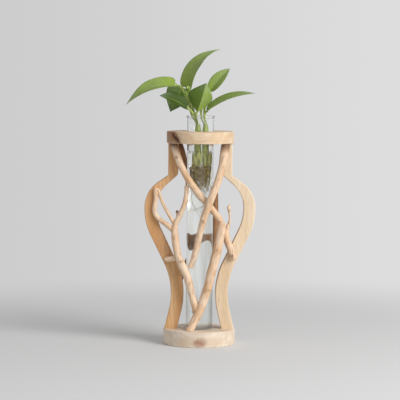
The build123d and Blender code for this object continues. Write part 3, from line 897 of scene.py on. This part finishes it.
def stem_finish():
    """Juicy green, yellow at the rooted end and pale on the stalks, with dark lines along it, partly its
    own ribs and partly painted shade in the hollows between them.
    """
    material, n = new_finish("fleshy_stem")
    place = n.place()
    height = n.part(place, 2)
    rib = n.mark("rib")
    mottle = n.noise(place, STEM_MOTTLE_GRAIN, 4.0)
    low, high = (tube_high.z - STEM_LENGTH) / MM, tube_high.z / MM
    colour = n.mix(n.step(height, low + 10, low + 24), STEM_YELLOW, STEM_GREEN)
    colour = n.mix(n.step(height, high - 24, high - 6), colour, STALK_PALE)
    # Painted shade in the hollows between the ribs, partly the stem's own dark lines
    colour = n.mix((1 - n.step(rib, 0.28, 0.6)) * 0.75, colour, STEM_DEEP)
    colour = n.mix(n.step(mottle, 0.5, 0.8) * 0.3, colour, STEM_DEEP)
    rough = STEM_ROUGHNESS + mottle * 0.15
    n.surface({"Base Color": colour, "Roughness": rough}, rib + mottle, STEM_RELIEF)
    return material


stem_green = stem_finish()
for number, node in enumerate(STEMS):
    stem = fleshy_stem(node, number + 1)
    new_piece("fleshy_" + node, stem, "cutting", [node], [stem_green])


# Roots

ROOT_SEED = 11
ROOT_STRANDS = 150
ROOT_STEPS = 11
ROOT_SIDES = 5
ROOT_RADIUS = 0.27 * MM
ROOT_TAPER = 0.7
ROOT_TANGLE = 27 * MM
ROOT_SLACK = 1.5
ROOT_KEEP_IN = bore_radius - 2.2 * MM
ROOT_NARROWING = 0.5
ROOT_BOUNCE = 0.8
ROOT_CURL = 0.42
ROOT_SPREAD = 2.2
ROUNDING_PASSES = 2
LOOP_STRANDS = 5
LOOP_RADIUS = 0.8 * ROOT_RADIUS
LOOP_DROP = 50 * MM
LOOP_STEPS = 36
LOOP_SWING_OUT = 0.4
LOOP_UPTURN = 0.64
ROOT_PATCH_GRAIN = 0.3
ROOT_ROUGHNESS = 0.5
ROOT_RELIEF = 0.05 * MM


def rounded(path):
    """The path with its corners cut, twice as fine."""
    fine = [path[0]]
    for first, second in zip(path, path[1:]):
        fine += [first.lerp(second, 0.25), first.lerp(second, 0.75)]
    return fine + [path[-1]]


def strand(sheet, path, radius):
    """A thin tapering thread along points."""
    rings = []
    for i, point in enumerate(path):
        ahead = path[min(i + 1, len(path) - 1)] - path[max(i - 1, 0)]
        turn = ahead.to_track_quat("Z", "Y").to_matrix()
        girth = radius * (1 - ROOT_TAPER * i / (len(path) - 1))
        ring = []
        for k in range(ROOT_SIDES):
            angle = math.tau * k / ROOT_SIDES
            out = Vector((girth * math.cos(angle), girth * math.sin(angle), 0))
            ring.append(sheet.verts.new(point + turn @ out))
        rings.append(ring)
    for lower, upper in zip(rings, rings[1:]):
        for k in range(ROOT_SIDES):
            m = (k + 1) % ROOT_SIDES
            sheet.faces.new((lower[k], lower[m], upper[m], upper[k]))
    sheet.faces.new(rings[0][::-1])
    sheet.faces.new(rings[-1])


def root_path(rng, start, drop):
    """A wandering way down from the stem, kept inside the tube's bore."""
    point = start.copy()
    way = Vector((rng.uniform(-1, 1), rng.uniform(-1, 1), -1.2)).normalized()
    path = [point.copy()]
    for _ in range(ROOT_STEPS):
        nudge = Vector((rng.gauss(0, 1), rng.gauss(0, 1), rng.gauss(-0.25, 0.6)))
        way = (way + nudge * ROOT_CURL).normalized()
        point = point + way * (drop / ROOT_STEPS * ROOT_SLACK)
        level = Vector((point.x, point.y, 0))
        keep_in = ROOT_KEEP_IN * (0.9 - ROOT_NARROWING * (start.z - point.z) / LOOP_DROP)
        if level.length > keep_in:
            point -= level.normalized() * (level.length - keep_in)
            way = (way - level.normalized() * ROOT_BOUNCE).normalized()
        point.z = max(point.z, start.z - drop)
        path.append(point.copy())
    for _ in range(ROUNDING_PASSES):
        path = rounded(path)
    return path


def loop_path(rng, start, drop):
    """A long loose root that winds down by the glass and turns up again at its end."""
    phase = rng.uniform(0, math.tau)
    winds = rng.uniform(0.5, 0.9) * rng.choice((-1, 1))
    path = []
    for i in range(LOOP_STEPS + 1):
        share = i / LOOP_STEPS
        out = min(1.0, share / LOOP_SWING_OUT)
        angle = phase + winds * math.tau * share
        sink = drop * math.sin(math.pi * LOOP_UPTURN * share)
        level = Vector((math.cos(angle), math.sin(angle), 0)) * ROOT_KEEP_IN
        point = Vector((start.x, start.y, 0)).lerp(level, out * out * (3 - 2 * out))
        point.z = start.z - sink
        path.append(point)
    return path


def root_mesh():
    """The tangle of fine roots under both stems, and a few long loose ones."""
    rng = random.Random(ROOT_SEED)
    sheet = bmesh.new()
    stem_ends = []
    for node in STEMS:
        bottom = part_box(node)[0].z
        ring = [v.co for v in nodes[node].data.vertices if v.co.z < bottom + MM]
        stem_ends.append(sum(ring, Vector()) / len(ring))
    for i in range(ROOT_STRANDS):
        across = rng.uniform(-ROOT_SPREAD, ROOT_SPREAD)
        forward = rng.uniform(-ROOT_SPREAD, ROOT_SPREAD)
        spread = Vector((across, forward, rng.uniform(-1, 4))) * MM
        drop = ROOT_TANGLE * rng.uniform(0.4, 1.0)
        path = root_path(rng, stem_ends[i % 2] + spread, drop)
        strand(sheet, path, ROOT_RADIUS * rng.uniform(0.6, 1.3))
    for i in range(LOOP_STRANDS):
        drop = LOOP_DROP * rng.uniform(0.8, 1.0)
        path = loop_path(rng, stem_ends[i % 2], drop)
        strand(sheet, path, LOOP_RADIUS)
    mesh = bpy.data.meshes.new("roots")
    sheet.to_mesh(mesh)
    sheet.free()
    smooth(mesh)
    return mesh


ROOT_TAN = paint(246, 226, 128)
ROOT_OLIVE = paint(214, 194, 84)
ROOT_BROWN = paint(178, 128, 58)


def root_finish():
    """Wet roots in patches of brown, olive and tan."""
    material, n = new_finish("fine_roots")
    place = n.place()
    patch = n.noise(place, ROOT_PATCH_GRAIN, 4.0)
    colour = n.mix(n.step(patch, 0.35, 0.55), ROOT_BROWN, ROOT_OLIVE)
    colour = n.mix(n.step(patch, 0.52, 0.75), colour, ROOT_TAN)
    n.surface({"Base Color": colour, "Roughness": ROOT_ROUGHNESS + patch * 0.2}, patch, ROOT_RELIEF)
    return material


new_piece("fine_roots", root_mesh(), "cutting", ["cutting_roots"], [root_finish()])


# Floor, light and camera

FLOOR_REACH = 0.7
FLOOR_SIDES = 96
FLOOR_SPECKS = 300
FLOOR_ROUGHNESS = 0.9
FLOOR_FADE_START = 0.2
FLOOR_FADE_END = 0.6
WALL_TURN = 0.11
FLOOR_COLOUR = paint(219, 219, 219)
WALL_LEFT = paint(205, 205, 206)
WALL_RIGHT = paint(221, 221, 222)
FILL_STRENGTH = 0.46
KEY_TURN = 48
KEY_RISE = 27
KEY_DISTANCE = 1.7
KEY_SIZE = 1.1
KEY_POWER = 24.5
CAMERA_PLACE = Vector((0, -1.85, 0.265))
CAMERA_AIM = Vector((0, 0, 0.1355))
CAMERA_FIELD = 11.58
CAMERA_ROLL = 0.45


def wall_colour(n, across, reach):
    """The studio wall's grey, a little lighter to the right."""
    return n.mix(n.step(across, -reach, reach), WALL_LEFT, WALL_RIGHT)


def looked_at(n):
    """1 where the camera, the glass or a gloss looks, 0 for soft light."""
    seen = n.add("ShaderNodeLightPath", out="Is Camera Ray")
    through = n.add("ShaderNodeLightPath", out="Is Transmission Ray")
    shine = n.add("ShaderNodeLightPath", out="Is Glossy Ray")
    return seen.larger(through).larger(shine)


def make_floor():
    """A pale floor that takes the vase's shadow and turns into the wall's grey further out."""
    sheet = bmesh.new()
    bmesh.ops.create_circle(sheet, cap_ends=True, segments=FLOOR_SIDES, radius=FLOOR_REACH)
    mesh = bpy.data.meshes.new("studio_floor")
    sheet.to_mesh(mesh)
    sheet.free()
    material, n = new_finish("studio_floor")
    place = n.add("ShaderNodeTexCoord", out="Object")
    away = n.distance(place, (0, 0, 0))
    speck = n.noise(place, FLOOR_SPECKS, 2.0)
    colour = n.mix(speck * 0.04, FLOOR_COLOUR, WALL_LEFT)
    sockets = {"Base Color": colour, "Roughness": FLOOR_ROUGHNESS}
    painted = n.add("ShaderNodeBsdfPrincipled", {}, sockets)
    far_reach = WALL_TURN * (FLOOR_REACH - CAMERA_PLACE.y)
    wall = n.add("ShaderNodeEmission", {}, {"Color": wall_colour(n, n.part(place, 0), far_reach)})
    fade = n.step(away, FLOOR_FADE_START, FLOOR_FADE_END) * looked_at(n)
    mixed = n.add("ShaderNodeMixShader", {}, {0: fade, 1: painted, 2: wall})
    n.add("ShaderNodeOutputMaterial", {}, {"Surface": mixed})
    mesh.materials.append(material)
    floor = bpy.data.objects.new("studio_floor", mesh)
    bpy.context.scene.collection.objects.link(floor)


def make_world():
    """Grey fill light, and the wall's grey where the camera or the glass looks out."""
    world = bpy.data.worlds.new("studio")
    bpy.context.scene.world = world
    world.use_nodes = True
    n = Nodes(world.node_tree)
    across = n.part(n.add("ShaderNodeTexCoord", out="Generated"), 0)
    wall = n.add("ShaderNodeBackground", {}, {"Color": wall_colour(n, across, WALL_TURN)})
    fill = n.add("ShaderNodeBackground", {}, {"Color": (1, 1, 1, 1), "Strength": FILL_STRENGTH})
    mixed = n.add("ShaderNodeMixShader", {}, {0: looked_at(n), 1: fill, 2: wall})
    n.add("ShaderNodeOutputWorld", {}, {"Surface": mixed})


def make_key_light():
    """One broad soft lamp in front, on the right."""
    lamp = bpy.data.lights.new("key", "AREA")
    lamp.shape = "DISK"
    lamp.size = KEY_SIZE
    lamp.energy = KEY_POWER
    light = bpy.data.objects.new("key", lamp)
    turn, rise = math.radians(KEY_TURN), math.radians(KEY_RISE)
    way = Vector((math.sin(turn) * math.cos(rise), -math.cos(turn) * math.cos(rise), math.sin(rise)))
    light.location = CAMERA_AIM + way * KEY_DISTANCE
    light.rotation_euler = way.to_track_quat("Z", "Y").to_euler()
    bpy.context.scene.collection.objects.link(light)


def make_camera():
    """The photograph's view, tipped by its small roll."""
    lens = bpy.data.cameras.new("camera")
    lens.angle = math.radians(CAMERA_FIELD)
    camera = bpy.data.objects.new("camera", lens)
    back = (CAMERA_PLACE - CAMERA_AIM).to_track_quat("Z", "Y").to_matrix()
    turned_frame = back @ Matrix.Rotation(math.radians(CAMERA_ROLL), 3, "Z")
    camera.matrix_world = Matrix.Translation(CAMERA_PLACE) @ turned_frame.to_4x4()
    bpy.context.scene.collection.objects.link(camera)
    bpy.context.scene.camera = camera


make_floor()
make_world()
make_key_light()
make_camera()
bpy.context.scene.view_settings.view_transform = "Standard"
